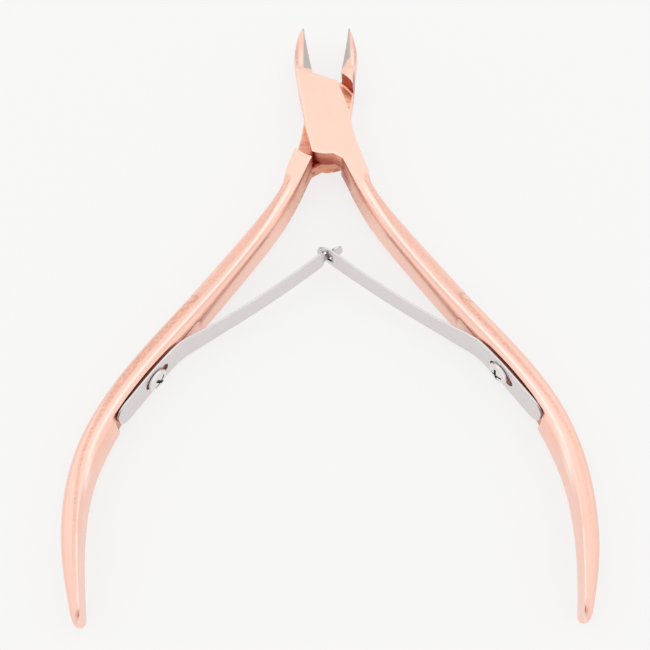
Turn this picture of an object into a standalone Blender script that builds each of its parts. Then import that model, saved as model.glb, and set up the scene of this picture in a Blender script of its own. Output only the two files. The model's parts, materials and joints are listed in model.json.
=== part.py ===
"""Cuticle nipper with a lap joint and a double leaf spring.

Run with: blender --background --python part.py

The pivot axis is the world Z axis, the jaws point to +Y and the handles run to -Y.
Z is 0 on the rear face and DEPTH on the front face. The front half carries the left
jaw, the upper lap plate and the right handle; the rear half carries the other three.
"""
import math

import bmesh
import bpy
import numpy as np
from mathutils import Matrix, Vector

MM = 0.001

# Overall sizes
DEPTH = 6.6 * MM
HANDLE_REACH = 87.6 * MM
HANDLE_SPREAD = 38.2 * MM
JAW_REACH = 22.1 * MM

# Lap joint
LAP_CLEARANCE = 0.06 * MM
CROTCH_RADIUS = 6.9 * MM
SHOULDER_RADIUS = 7.8 * MM

# Pivot rivet
RIVET_RADIUS = 2.0 * MM
RIVET_HEAD_RADIUS = 2.8 * MM
RIVET_HEAD_DEPTH = 0.9 * MM
RIVET_CLEARANCE = 0.05 * MM

# Jaws
JAW_OPEN_AT_TIP = 8.3 * MM
JAW_OPEN_AT_BASE = 5.2 * MM
JAW_GAP_CENTRE = 0.15 * MM
EDGE_BASE = 11.5 * MM
CHEEK_START = 11.2 * MM
CHEEK_DROP = 2.6 * MM
BACK_RISE = 2.1 * MM
BEVEL_LINE = 3.95 * MM
BEVEL_HEIGHT = 0.9 * MM
EDGE_LAND = 0.32 * MM
EDGE_RELIEF = 0.35 * MM

# Handles: the ridge is the inner edge of the front face, the bulge stands in from it
HANDLE_WIDTH = 3.6 * MM
HANDLE_BULGE = 1.6 * MM
NOTCH_STEP = 0.22 * MM
RIDGE_WIDTH = 0.25 * MM
HANDLE_TIP_ROUND = 2.0 * MM
HANDLE_TIP_DEPTH = 5.9 * MM

# Leaf springs
SPRING_THICKNESS = 0.32 * MM
FOOT_HEIGHT = 5.6 * MM
LEAF_HEIGHT = 4.5 * MM
LEAF_END_HEIGHT = 4.8 * MM
LEAF_TAPER = 9.0 * MM
INTERLOCK_REACH = 25.2 * MM
FOOT_LENGTH = 16.2 * MM
FOOT_END_GAP = 0.55 * MM
BEND_AT = 41.45 * MM
LEAF_SAG = 0.6 * MM
END_DROOP = math.radians(12)
FLEX_GAP = 0.3 * MM
POCKET_DEPTH = 0.45 * MM
POCKET_CLEARANCE = 0.05 * MM
POCKET_SIDE_CLEARANCE = 0.2 * MM
POCKET_RUN_OUT = 5.0 * MM

# Interlock: a neck and a round head on the left leaf pass a slot in the right leaf
NECK_HEIGHT = 1.4 * MM
NECK_LENGTH = 1.8 * MM
HEAD_HEIGHT = 2.9 * MM
HEAD_LENGTH = 2.1 * MM
SLOT_LENGTH = 2.8 * MM
SLOT_CLEARANCE = 0.4 * MM
SLOT_END_LAND = 0.5 * MM

# Spring screws
SCREW_SHANK_RADIUS = 0.95 * MM
SCREW_SHANK_LENGTH = 2.6 * MM
SCREW_HEAD_RADIUS = 2.0 * MM
SCREW_HEAD_HEIGHT = 1.05 * MM
SCREW_CLEARANCE = 0.05 * MM
FOOT_HOLE_FROM_BEND = 6.3 * MM
LEFT_SCREW_OFFSET = 0.35 * MM
RIGHT_SCREW_OFFSET = -0.35 * MM
RECESS_LENGTH = 2.4 * MM
RECESS_WIDTH = 0.45 * MM
RECESS_DEPTH = 0.5 * MM
FOOT_SLOT_LENGTH = 5.4 * MM
FOOT_SLOT_HEIGHT = 2.5 * MM

HALF_DEPTH = DEPTH / 2
FRONT_SIDE = 1
REAR_SIDE = -1

# Corners of the front lap plate, seen from the front: x, y
PLATE_JAW_EDGE = ((2.1, 8.5), (-2.69, 10.47), (-3.95, 11.2), (-5.35, 11.4))
PLATE_LEFT_EDGE = ((-5.1, 8.6), (-4.85, 6.5), (-4.32, 3.7), (-3.79, 0.0), (-3.44, -2.1))
PLATE_RIGHT_EDGE = ((5.61, -5.7), (4.64, -1.7), (4.17, 1.4), (3.16, 5.1))
PLATE_CORNER_BELOW_FLUTE = (7.1, -10.0)
CROTCH_LEFT_ANGLE = math.radians(-112)
CROTCH_RIGHT_ANGLE = math.radians(-82)

# Where the rear plate swings past the front half's jaw: x, y
JAW_SHOULDER = ((-2.7, 10.35), (-3.85, 9.3), (-4.75, 8.2), (-5.35, 7.2))

# Outer side of a jaw: y, x
JAW_OUTER = ((3.2, 4.24), (6.3, 4.8), (9.4, 5.1), (12.3, 5.5), (15.0, 5.8), (17.3, 5.72),
             (19.2, 5.4), (20.9, 4.98))

# Ridge line of a handle above the flute: y, x
RIDGE_NECK = ((-2.5, 0.1), (-5.2, 1.45), (-8.3, 2.95))
RIDGE_ROOT = (-11.4, 4.3)
# Ridge line below it, as shares of the way from the root to the end and to the full spread
RIDGE_SHAPE = ((0.083, 0.096), (0.195, 0.269), (0.304, 0.454), (0.401, 0.628), (0.522, 0.829),
               (0.634, 0.947), (0.718, 0.991), (0.801, 1.0), (0.882, 0.991), (1.0, 0.962))
# Share of the handle's width and bulge along it, from the root to the end
WIDTH_SHAPE = ((-0.09, 1.12), (-0.046, 0.96), (0.0, 0.875), (0.03, 0.81), (0.083, 0.83),
               (0.16, 0.87), (0.25, 0.89), (0.304, 0.885), (0.401, 0.892), (0.522, 0.857),
               (0.634, 0.847), (0.718, 0.806), (0.801, 0.792), (0.882, 0.7), (0.96, 0.486),
               (1.0, 0.37))
BULGE_SHAPE = ((-0.09, 0.0), (-0.046, 0.05), (0.0, 0.19), (0.083, 0.47), (0.195, 0.66),
               (0.304, 0.81), (0.401, 0.94), (0.522, 1.0), (0.634, 0.82), (0.718, 0.53),
               (0.801, 0.27), (0.882, 0.07), (1.0, 0.02))
HANDLE_START = -0.075
FLUTE_START = 0.004
FLUTE_FULL = 0.022
NOTCH_START = 0.310
NOTCH_END = 0.318

# Front face and outer side of a handle's section, from the outer middle to the ridge:
# share of the width, share of the half depth
FLAT_TOP = ((1.0, 0.0), (1.0, 0.35), (1.0, 0.7), (1.0, 0.96), (0.96, 1.0), (0.6, 1.0))
FLUTED_TOP = ((1.0, 0.0), (1.0, 0.32), (0.95, 0.58), (0.82, 0.75), (0.6, 0.82), (0.36, 0.9))
ROUND_TOP = ((1.0, 0.0), (0.97, 0.3), (0.88, 0.56), (0.7, 0.76), (0.5, 0.83), (0.32, 0.91))
# Inner side, from the ridge to the inner middle: share of the bulge, share of the half depth
INNER_SIDE = ((0.55, 0.86), (0.88, 0.66), (1.0, 0.42), (1.0, 0.0))


def clear_scene():
    for scene_object in list(bpy.data.objects):
        bpy.data.objects.remove(scene_object, do_unlink=True)


def make_collection(name):
    collection = bpy.data.collections.new(name)
    bpy.context.scene.collection.children.link(collection)
    return collection


def make_material(name, colour, roughness, metallic=1.0):
    material = bpy.data.materials.new(name)
    material.use_nodes = True
    shader = material.node_tree.nodes["Principled BSDF"]
    shader.inputs["Base Color"].default_value = (*colour, 1.0)
    shader.inputs["Roughness"].default_value = roughness
    shader.inputs["Metallic"].default_value = metallic
    return material


def smooth_curve(knots, values):
    """Natural cubic spline through the knots, as a function."""
    knots = np.array(knots, dtype=float)
    values = np.array(values, dtype=float)
    gaps = np.diff(knots)
    slopes = np.diff(values) / gaps
    size = len(knots)
    matrix = np.eye(size)
    right = np.zeros(size)
    for row in range(1, size - 1):
        matrix[row, row - 1] = gaps[row - 1]
        matrix[row, row] = 2 * (gaps[row - 1] + gaps[row])
        matrix[row, row + 1] = gaps[row]
        right[row] = 6 * (slopes[row] - slopes[row - 1])
    bends = np.linalg.solve(matrix, right)

    def evaluate(position):
        index = int(np.clip(np.searchsorted(knots, position) - 1, 0, size - 2))
        gap = gaps[index]
        after = position - knots[index]
        before = knots[index + 1] - position
        curve = (bends[index] * before ** 3 + bends[index + 1] * after ** 3) / (6 * gap)
        start = (values[index] / gap - bends[index] * gap / 6) * before
        end = (values[index + 1] / gap - bends[index + 1] * gap / 6) * after
        return float(curve + start + end)

    return evaluate


def shape_curve(shape):
    return smooth_curve([point[0] for point in shape], [point[1] for point in shape])


def ramp(value, start, end):
    share = min(max((value - start) / (end - start), 0.0), 1.0)
    return share * share * (3 - 2 * share)


def mixed(first, second, share):
    return first + (second - first) * share


def finish_mesh(name, bm, collection):
    bmesh.ops.recalc_face_normals(bm, faces=bm.faces)
    mesh = bpy.data.meshes.new(name)
    bm.to_mesh(mesh)
    bm.free()
    new_object = bpy.data.objects.new(name, mesh)
    collection.objects.link(new_object)
    return new_object


def loft(name, rings, collection):
    """Closed body through rings of the same number of points."""
    bm = bmesh.new()
    loops = [[bm.verts.new(point) for point in ring] for ring in rings]
    count = len(loops[0])
    for first, second in zip(loops, loops[1:]):
        for index in range(count):
            following = (index + 1) % count
            bm.faces.new((first[index], first[following], second[following], second[index]))
    caps = [bm.faces.new(loops[0]), bm.faces.new(loops[-1])]
    bmesh.ops.poke(bm, faces=caps)
    return finish_mesh(name, bm, collection)


def prism(name, outline, low, high, collection):
    """Flat outline (x, y) filled and extruded from low to high along Z."""
    curve = bpy.data.curves.new(name, "CURVE")
    curve.dimensions = "2D"
    curve.fill_mode = "BOTH"
    curve.extrude = (high - low) / 2
    spline = curve.splines.new("POLY")
    spline.points.add(len(outline) - 1)
    for point, (x, y) in zip(spline.points, outline):
        point.co = (x, y, 0, 1)
    spline.use_cyclic_u = True
    curve_object = bpy.data.objects.new(name + "_outline", curve)
    collection.objects.link(curve_object)
    curve_object.location.z = (low + high) / 2
    graph = bpy.context.evaluated_depsgraph_get()
    mesh = bpy.data.meshes.new_from_object(curve_object.evaluated_get(graph))
    bm = bmesh.new()
    bm.from_mesh(mesh)
    bmesh.ops.remove_doubles(bm, verts=bm.verts, dist=0.002 * MM)
    bmesh.ops.translate(bm, verts=bm.verts, vec=(0, 0, (low + high) / 2))
    bpy.data.objects.remove(curve_object, do_unlink=True)
    bpy.data.meshes.remove(mesh)
    return finish_mesh(name, bm, collection)


def turned(name, profile, collection, steps=32):
    """Solid of revolution about Z from a profile of (radius, z) that starts and ends on it."""
    mesh = bpy.data.meshes.new(name)
    points = [(radius, 0, z) for radius, z in profile]
    edges = [(index, index + 1) for index in range(len(points) - 1)]
    mesh.from_pydata(points, edges, [])
    new_object = bpy.data.objects.new(name, mesh)
    collection.objects.link(new_object)
    screw = new_object.modifiers.new("Turn", "SCREW")
    screw.steps = steps
    screw.render_steps = steps
    screw.use_merge_vertices = True
    screw.merge_threshold = 0.001 * MM
    apply_modifiers(new_object)
    bm = bmesh.new()
    bm.from_mesh(new_object.data)
    bmesh.ops.recalc_face_normals(bm, faces=bm.faces)
    bm.to_mesh(new_object.data)
    bm.free()
    return new_object


def apply_modifiers(target):
    graph = bpy.context.evaluated_depsgraph_get()
    mesh = bpy.data.meshes.new_from_object(target.evaluated_get(graph))
    target.modifiers.clear()
    target.data = mesh


def place(target, matrix):
    """Moves the mesh itself, so that the object stays at the pivot."""
    target.data.transform(matrix)
    if matrix.determinant() < 0:
        target.data.flip_normals()


def combine(target, other, operation, collection):
    """Boolean of two bodies; a cutter is kept, a joined body is used up."""
    modifier = target.modifiers.new(operation.title(), "BOOLEAN")
    modifier.operation = operation
    modifier.solver = "EXACT"
    modifier.object = other
    apply_modifiers(target)
    if operation == "DIFFERENCE":
        other.hide_render = True
        other.display_type = "WIRE"
        for owner in list(other.users_collection):
            owner.objects.unlink(other)
        collection.objects.link(other)
    else:
        bpy.data.objects.remove(other, do_unlink=True)


def arc(radius, start, end, steps):
    angles = np.linspace(start, end, steps + 1)
    return [(radius * math.cos(angle), radius * math.sin(angle)) for angle in angles]


def scaled(points):
    return [(x * MM, y * MM) for x, y in points]


def sided(points, side):
    return [(x * side, y) for x, y in points]


class HandleLine:
    """Ridge line of the right handle: position, direction and section sizes along it."""

    def __init__(self):
        root_y, root_x = RIDGE_ROOT[0] * MM, RIDGE_ROOT[1] * MM
        self.start = root_y
        self.run = -HANDLE_REACH - root_y
        knots = [((y * MM - root_y) / self.run, x * MM) for y, x in RIDGE_NECK]
        knots.append((0.0, root_x))
        knots += [(down, root_x + across * (HANDLE_SPREAD - root_x)) for down, across in RIDGE_SHAPE]
        self.ridge_x = shape_curve(knots)
        self.width = shape_curve(WIDTH_SHAPE)
        self.bulge = shape_curve(BULGE_SHAPE)

    def point(self, share):
        return Vector((self.ridge_x(share), self.start + share * self.run, 0))

    def direction(self, share):
        step = 0.002
        return (self.point(share + step) - self.point(share - step)).normalized()

    def outward(self, share):
        direction = self.direction(share)
        return Vector((-direction.y, direction.x, 0))

    def share_at(self, y):
        return (y - self.start) / self.run


def handle_section(line, share, end_scale=1.0):
    """Ring of points across the handle; end_scale shrinks it about its middle at the tip."""
    width = line.width(share) * HANDLE_WIDTH + NOTCH_STEP * ramp(share, NOTCH_START, NOTCH_END)
    bulge = max(line.bulge(share), 0.0) * HANDLE_BULGE
    ridge = mixed(1.6 * MM, RIDGE_WIDTH, ramp(share, FLUTE_FULL, 0.25))
    half = mixed(HALF_DEPTH, HANDLE_TIP_DEPTH / 2, ramp(share, 0.6, 1.0))
    flute = ramp(share, FLUTE_START, FLUTE_FULL)
    rounding = ramp(share, NOTCH_START, NOTCH_END)
    upper = []
    for flat, fluted, rounded in zip(FLAT_TOP, FLUTED_TOP, ROUND_TOP):
        across = mixed(flat[0], mixed(fluted[0], rounded[0], rounding), flute) * width
        above = mixed(flat[1], mixed(fluted[1], rounded[1], rounding), flute) * half
        upper.append((max(across, ridge + 0.1 * MM), above))
    upper.append((ridge, half))
    upper.append((0.0, half))
    upper += [(-inward * bulge, above * half) for inward, above in INNER_SIDE]
    lower = [(across, -above) for across, above in reversed(upper[1:-1])]
    middle = (width - bulge) / 2
    origin = line.point(share)
    outward = line.outward(share)
    ring = []
    for across, above in upper + lower:
        across = middle + (across - middle) * end_scale
        ring.append(origin + outward * across + Vector((0, 0, HALF_DEPTH + above * end_scale)))
    return ring


def make_handle(name, side, collection):
    line = HandleLine()
    tip_share = 1.0 - HANDLE_TIP_ROUND / HANDLE_REACH
    shares = list(np.linspace(HANDLE_START, FLUTE_START, 6))
    shares += list(np.linspace(FLUTE_START, FLUTE_FULL, 4))[1:]
    shares += list(np.linspace(FLUTE_FULL, NOTCH_START, 13))[1:]
    shares += list(np.linspace(NOTCH_START, NOTCH_END, 4))[1:]
    shares += list(np.linspace(NOTCH_END, tip_share, 26))[1:]
    rings = [handle_section(line, share) for share in shares]
    for angle in np.linspace(0, math.radians(75), 6)[1:]:
        share = mixed(tip_share, 1.0, math.sin(angle))
        rings.append(handle_section(line, share, max(math.cos(angle), 0.3)))
    handle = loft(name, rings, collection)
    place(handle, Matrix.Diagonal((side, 1, 1, 1)))
    return handle


def jaw_section(y, outer_x, edge_x, shape):
    """Ring of points across the right jaw at y, from its cutting edge round the front."""
    cheek, edge, back = shape
    bevel_x = min(max(BEVEL_LINE, edge_x + EDGE_LAND), mixed(edge_x, outer_x, 0.7))
    width = outer_x - edge_x
    return [
        Vector((edge_x, y, edge)),
        Vector((bevel_x, y, cheek)),
        Vector((mixed(bevel_x, outer_x, 0.6), y, cheek - 0.02 * width)),
        Vector((outer_x - 0.08 * width, y, cheek - 0.12 * width)),
        Vector((outer_x, y, mixed(cheek, back, 0.35))),
        Vector((outer_x, y, mixed(cheek, back, 0.7))),
        Vector((outer_x - 0.2 * width, y, back)),
        Vector((min(edge_x + EDGE_RELIEF, mixed(edge_x, outer_x, 0.5)), y, back)),
    ]


def make_jaw(name, side, collection):
    """Full-depth jaw; side is the side that it stands on."""
    reach = JAW_REACH
    tip_x = JAW_OPEN_AT_TIP / 2 + side * JAW_GAP_CENTRE
    outer = [(y * MM, x * MM) for y, x in JAW_OUTER]
    outer_curve = shape_curve(outer + [(reach, tip_x + 0.1 * MM)])
    rings = []
    for y in list(np.linspace(4.5 * MM, CHEEK_START, 5)) + list(np.linspace(CHEEK_START, reach, 14))[1:]:
        along = max((y - EDGE_BASE) / (reach - EDGE_BASE), 0.0)
        edge_x = mixed(JAW_OPEN_AT_BASE / 2, JAW_OPEN_AT_TIP / 2, along) + side * JAW_GAP_CENTRE
        drop = CHEEK_DROP * (1 - (1 - max(y - CHEEK_START, 0) / (reach - CHEEK_START)) ** 1.8)
        cheek = DEPTH - drop
        back = BACK_RISE * max((y - 10 * MM) / (reach - 10 * MM), 0.0) ** 1.7
        ground = BEVEL_HEIGHT * ramp(y, CHEEK_START - 0.5 * MM, EDGE_BASE + 0.5 * MM) * mixed(1.4, 0.35, along)
        rings.append(jaw_section(y, outer_curve(y), edge_x, (cheek, cheek - ground, back)))
    jaw = loft(name, rings, collection)
    place(jaw, Matrix.Diagonal((side, 1, 1, 1)))
    return jaw


def plate_outline():
    """Front lap plate, counter-clockwise from the jaw corner."""
    line = HandleLine()
    crotch = arc(CROTCH_RADIUS, CROTCH_LEFT_ANGLE, CROTCH_RIGHT_ANGLE, 8)
    handle_inner = [tuple(line.point(share)[:2]) for share in (-0.046, -0.02, 0.0)]
    outline = scaled(PLATE_JAW_EDGE) + scaled(PLATE_LEFT_EDGE)
    outline += crotch + handle_inner
    outline.append(tuple(coordinate * MM for coordinate in PLATE_CORNER_BELOW_FLUTE))
    outline += scaled(PLATE_RIGHT_EDGE)
    return outline


def make_plate(name, side, collection):
    if side == FRONT_SIDE:
        low, high = HALF_DEPTH + LAP_CLEARANCE / 2, DEPTH
    else:
        low, high = 0.0, HALF_DEPTH - LAP_CLEARANCE / 2
    return prism(name, sided(plate_outline(), side), low, high, collection)


def lap_cutter(name, side, collection):
    """Space that the other half's plate swings through."""
    past = 2 * MM
    if side == FRONT_SIDE:
        low, high = -past, HALF_DEPTH + LAP_CLEARANCE / 2
    else:
        low, high = HALF_DEPTH - LAP_CLEARANCE / 2, DEPTH + past
    swing = arc(SHOULDER_RADIUS, math.radians(-200), math.radians(20), 44)
    jaw_side = [(9 * MM, 9 * MM), (1 * MM, 11.6 * MM)]
    outline = swing + jaw_side + scaled(JAW_SHOULDER) + [(-9 * MM, 3 * MM)]
    return prism(name, sided(outline, side), low, high, collection)


def rivet_profile(clearance):
    slope = (RIVET_HEAD_RADIUS - RIVET_RADIUS) / RIVET_HEAD_DEPTH
    past = 0.5 * MM if clearance else 0.0
    return [
        (0.0, DEPTH + past),
        (RIVET_HEAD_RADIUS + clearance + past * slope, DEPTH + past),
        (RIVET_RADIUS + clearance, DEPTH - RIVET_HEAD_DEPTH),
        (RIVET_RADIUS + clearance, RIVET_HEAD_DEPTH),
        (RIVET_HEAD_RADIUS + clearance + past * slope, -past),
        (0.0, -past),
    ]


class SpringLine:
    """Plan of the right spring: foot in the handle's pocket, bend, and leaf to the middle."""

    def __init__(self):
        line = HandleLine()
        self.inset = HANDLE_BULGE - POCKET_DEPTH + POCKET_CLEARANCE + SPRING_THICKNESS / 2
        upper = line.share_at(-BEND_AT)
        lower = line.share_at(-BEND_AT - FOOT_LENGTH * 0.74)
        self.bend = line.point(upper) - line.outward(upper) * (self.inset + 0.15 * MM)
        foot_end = line.point(lower) - line.outward(lower) * (self.inset - 0.05 * MM)
        self.foot_along = (foot_end - self.bend).normalized()
        self.foot_out = Vector((-self.foot_along.y, self.foot_along.x, 0))
        self.cross = Vector((0, -INTERLOCK_REACH, 0))
        self.leaf_along = (self.cross - self.bend).normalized()
        self.leaf_out = Vector((-self.leaf_along.y, self.leaf_along.x, 0))
        self.leaf_length = (self.cross - self.bend).length

    def foot_matrix(self):
        """Local X along the foot, Y out of the handle, Z up, at the bend."""
        along = self.foot_along
        inward = -self.foot_out
        return Matrix((
            (along.x, inward.x, 0, self.bend.x),
            (along.y, inward.y, 0, self.bend.y),
            (0, 0, 1, HALF_DEPTH),
            (0, 0, 0, 1),
        ))

    def end_along(self):
        """Direction of the leaf's end past the crossing, turned down from the leaf's own."""
        return Matrix.Rotation(END_DROOP, 3, "Z") @ self.leaf_along

    def leaf_point(self, distance, across):
        """Point of the leaf, sagging away from the jaws between the bend and the crossing."""
        if distance > self.leaf_length:
            along = self.end_along()
            normal = Vector((-along.y, along.x, 0))
            return self.cross + along * (distance - self.leaf_length) + normal * across
        share = distance / self.leaf_length
        sag = 4 * LEAF_SAG * share * (1 - share)
        slope = math.atan(4 * LEAF_SAG * (1 - 2 * share) / self.leaf_length)
        base = self.bend + self.leaf_along * distance + self.leaf_out * sag
        normal = self.leaf_out * math.cos(slope) - self.leaf_along * math.sin(slope)
        return base + normal * across


def box(name, size, centre, collection, bevel=0.0):
    bm = bmesh.new()
    bmesh.ops.create_cube(bm, size=1.0)
    bmesh.ops.scale(bm, vec=size, verts=bm.verts)
    if bevel:
        upright = [edge for edge in bm.edges if abs((edge.verts[0].co - edge.verts[1].co).normalized().y) > 0.9]
        bmesh.ops.bevel(bm, geom=upright, offset=bevel, segments=6, affect="EDGES", profile=0.5)
    bmesh.ops.translate(bm, verts=bm.verts, vec=centre)
    return finish_mesh(name, bm, collection)


def make_foot(name, side, collection, cutters):
    """Flat foot with an oblong hole for the screw, seated on the pocket's floor."""
    spring = SpringLine()
    length = FOOT_LENGTH - FLEX_GAP / 2
    foot = box(name, (length, SPRING_THICKNESS, FOOT_HEIGHT), (FLEX_GAP / 2 + length / 2, 0, 0),
               collection, bevel=FOOT_HEIGHT * 0.3)
    square_end = box(name + "_root", (length / 2, SPRING_THICKNESS, FOOT_HEIGHT),
                     (FLEX_GAP / 2 + length / 4, 0, 0), collection)
    combine(foot, square_end, "UNION", cutters)
    hole = box(name + "_hole", (FOOT_SLOT_LENGTH, 4 * SPRING_THICKNESS, FOOT_SLOT_HEIGHT),
               (FOOT_HOLE_FROM_BEND, 0, 0), cutters, bevel=FOOT_SLOT_HEIGHT * 0.4)
    combine(foot, hole, "DIFFERENCE", cutters)
    place(foot, Matrix.Diagonal((side, 1, 1, 1)) @ spring.foot_matrix())
    return foot


def make_leaf(name, side, collection):
    """Curved strip from the bend towards the middle plane."""
    spring = SpringLine()
    male = side == REAR_SIDE
    end = spring.leaf_length - NECK_LENGTH / 2 if male else spring.leaf_length + SLOT_LENGTH / 2 + SLOT_END_LAND
    half = SPRING_THICKNESS / 2
    rings = []
    for distance in np.linspace(FLEX_GAP / 2, end, 26):
        height = mixed(FOOT_HEIGHT, LEAF_HEIGHT, ramp(distance, 0.0, LEAF_TAPER))
        height += (LEAF_END_HEIGHT - LEAF_HEIGHT) * ramp(distance / spring.leaf_length, 0.6, 1.0)
        close = spring.leaf_point(distance, -half)
        far = spring.leaf_point(distance, half)
        up = Vector((0, 0, height / 2))
        middle = Vector((0, 0, HALF_DEPTH))
        rings.append([close + middle - up, far + middle - up, far + middle + up, close + middle + up])
    leaf = loft(name, rings, collection)
    return leaf, spring


def interlock_matrix(spring):
    """Local X along the leaf's end, Y across its thickness and Z up, where the springs cross."""
    along = spring.end_along()
    out = Vector((-along.y, along.x, 0))
    return Matrix((
        (along.x, out.x, 0, spring.cross.x),
        (along.y, out.y, 0, spring.cross.y),
        (0, 0, 1, HALF_DEPTH),
        (0, 0, 0, 1),
    ))


def make_right_leaf(collection, cutters):
    leaf, spring = make_leaf("right_spring_leaf", FRONT_SIDE, collection)
    slot = box("right_leaf_slot", (SLOT_LENGTH, 6 * SPRING_THICKNESS, NECK_HEIGHT + 2 * SLOT_CLEARANCE),
               (0, 0, 0), cutters)
    place(slot, interlock_matrix(spring))
    combine(leaf, slot, "DIFFERENCE", cutters)
    return leaf


def make_left_leaf(collection, cutters):
    leaf, spring = make_leaf("left_spring_leaf", REAR_SIDE, collection)
    overlap = 0.4 * MM
    neck = box("left_leaf_neck", (NECK_LENGTH + 2 * overlap, SPRING_THICKNESS, NECK_HEIGHT), (0, 0, 0), collection)
    head = box("left_leaf_head", (HEAD_LENGTH, SPRING_THICKNESS, HEAD_HEIGHT),
               (NECK_LENGTH / 2 + HEAD_LENGTH / 2, 0, 0), collection, bevel=HEAD_LENGTH * 0.45)
    combine(neck, head, "UNION", cutters)
    place(neck, interlock_matrix(spring))
    combine(leaf, neck, "UNION", cutters)
    place(leaf, Matrix.Diagonal((REAR_SIDE, 1, 1, 1)))
    return leaf


def screw_stand(side):
    """Turns a screw's own Z square to the foot, at its place in the oblong hole."""
    offset = RIGHT_SCREW_OFFSET if side == FRONT_SIDE else LEFT_SCREW_OFFSET
    place_along = Matrix.Translation((FOOT_HOLE_FROM_BEND + offset, 0, 0))
    return place_along @ Matrix.Rotation(math.radians(-90), 4, "X")


def make_screw(name, side, collection, cutters):
    """Pan-head screw with a cross recess; its axis is square to the foot."""
    spring = SpringLine()
    seat = SPRING_THICKNESS / 2 + SCREW_CLEARANCE
    bottom = -SPRING_THICKNESS / 2 - SCREW_SHANK_LENGTH
    crown = seat + SCREW_HEAD_HEIGHT
    profile = [
        (0.0, crown),
        (SCREW_HEAD_RADIUS * 0.55, crown - SCREW_HEAD_HEIGHT * 0.08),
        (SCREW_HEAD_RADIUS * 0.88, crown - SCREW_HEAD_HEIGHT * 0.35),
        (SCREW_HEAD_RADIUS, crown - SCREW_HEAD_HEIGHT * 0.7),
        (SCREW_HEAD_RADIUS, seat),
        (SCREW_SHANK_RADIUS, seat),
        (SCREW_SHANK_RADIUS, bottom + SCREW_SHANK_RADIUS * 0.5),
        (SCREW_SHANK_RADIUS * 0.5, bottom),
        (0.0, bottom),
    ]
    screw = turned(name, profile, collection, steps=20)
    centre = (0, 0, crown - RECESS_DEPTH / 2 + RECESS_DEPTH)
    depth = 3 * RECESS_DEPTH
    cross = box(name + "_recess_a", (RECESS_LENGTH, RECESS_WIDTH, depth), centre, cutters)
    other = box(name + "_recess_b", (RECESS_WIDTH, RECESS_LENGTH, depth), centre, cutters)
    combine(cross, other, "UNION", cutters)
    place(cross, Matrix.Rotation(math.radians(20), 4, "Z"))
    combine(screw, cross, "DIFFERENCE", cutters)
    place(screw, Matrix.Diagonal((side, 1, 1, 1)) @ spring.foot_matrix() @ screw_stand(side))
    return screw


def pocket_cutter(name, side, collection):
    """Flat-floored pocket for the foot, open to the inner side, with a rounded end."""
    spring = SpringLine()
    start = -POCKET_RUN_OUT
    end = FOOT_LENGTH + FOOT_END_GAP
    height = FOOT_HEIGHT + 2 * POCKET_SIDE_CLEARANCE
    reach = 6 * MM
    floor = -SPRING_THICKNESS / 2 - POCKET_CLEARANCE
    cutter = box(name, (end - start, reach, height), ((start + end) / 2, floor + reach / 2, 0),
                 collection, bevel=height * 0.3)
    place(cutter, Matrix.Diagonal((side, 1, 1, 1)) @ spring.foot_matrix())
    return cutter


def screw_hole_cutter(name, side, collection):
    spring = SpringLine()
    radius = SCREW_SHANK_RADIUS + SCREW_CLEARANCE
    bottom = -SPRING_THICKNESS / 2 - SCREW_SHANK_LENGTH - SCREW_CLEARANCE
    hole = turned(name, [(0.0, 3 * MM), (radius, 3 * MM), (radius, bottom), (0.0, bottom)], collection, steps=20)
    place(hole, Matrix.Diagonal((side, 1, 1, 1)) @ spring.foot_matrix() @ screw_stand(side))
    return hole


def make_half(name, side, collection, cutters):
    """One forging: jaw, half-depth lap plate and handle."""
    half = make_handle(name, side, collection)
    jaw = make_jaw(name + "_jaw", -side, collection)
    combine(half, jaw, "UNION", cutters)
    combine(half, lap_cutter(name + "_lap", side, cutters), "DIFFERENCE", cutters)
    combine(half, make_plate(name + "_plate", side, collection), "UNION", cutters)
    combine(half, turned(name + "_rivet_hole", rivet_profile(RIVET_CLEARANCE), cutters), "DIFFERENCE", cutters)
    combine(half, pocket_cutter(name + "_pocket", side, cutters), "DIFFERENCE", cutters)
    combine(half, screw_hole_cutter(name + "_screw_hole", side, cutters), "DIFFERENCE", cutters)
    return half


def finish(part, material):
    part.data.materials.clear()
    part.data.materials.append(material)
    part.data.shade_smooth()
    part.data.set_sharp_from_angle(angle=math.radians(30))


def main():
    clear_scene()
    parts = make_collection("cuticle_nipper")
    cutters = make_collection("cutters")
    rose_gold = make_material("rose_gold_plating", (0.87, 0.50, 0.39), 0.32)
    polished_rose = make_material("polished_rose_gold", (0.85, 0.46, 0.35), 0.15)
    spring_steel = make_material("brushed_spring_steel", (0.52, 0.50, 0.49), 0.38)
    screw_steel = make_material("bright_screw_steel", (0.68, 0.67, 0.66), 0.22)

    finish(make_half("front_half", FRONT_SIDE, parts, cutters), rose_gold)
    finish(make_half("rear_half", REAR_SIDE, parts, cutters), rose_gold)
    finish(turned("pivot_rivet", rivet_profile(0.0), parts), polished_rose)
    finish(make_foot("right_spring_foot", FRONT_SIDE, parts, cutters), spring_steel)
    finish(make_foot("left_spring_foot", REAR_SIDE, parts, cutters), spring_steel)
    finish(make_right_leaf(parts, cutters), spring_steel)
    finish(make_left_leaf(parts, cutters), spring_steel)
    finish(make_screw("right_spring_screw", FRONT_SIDE, parts, cutters), screw_steel)
    finish(make_screw("left_spring_screw", REAR_SIDE, parts, cutters), screw_steel)


main()
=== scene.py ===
import bpy
import bmesh
import json
import math
import numpy as np
from mathutils import Matrix, Vector
from types import SimpleNamespace

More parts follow.
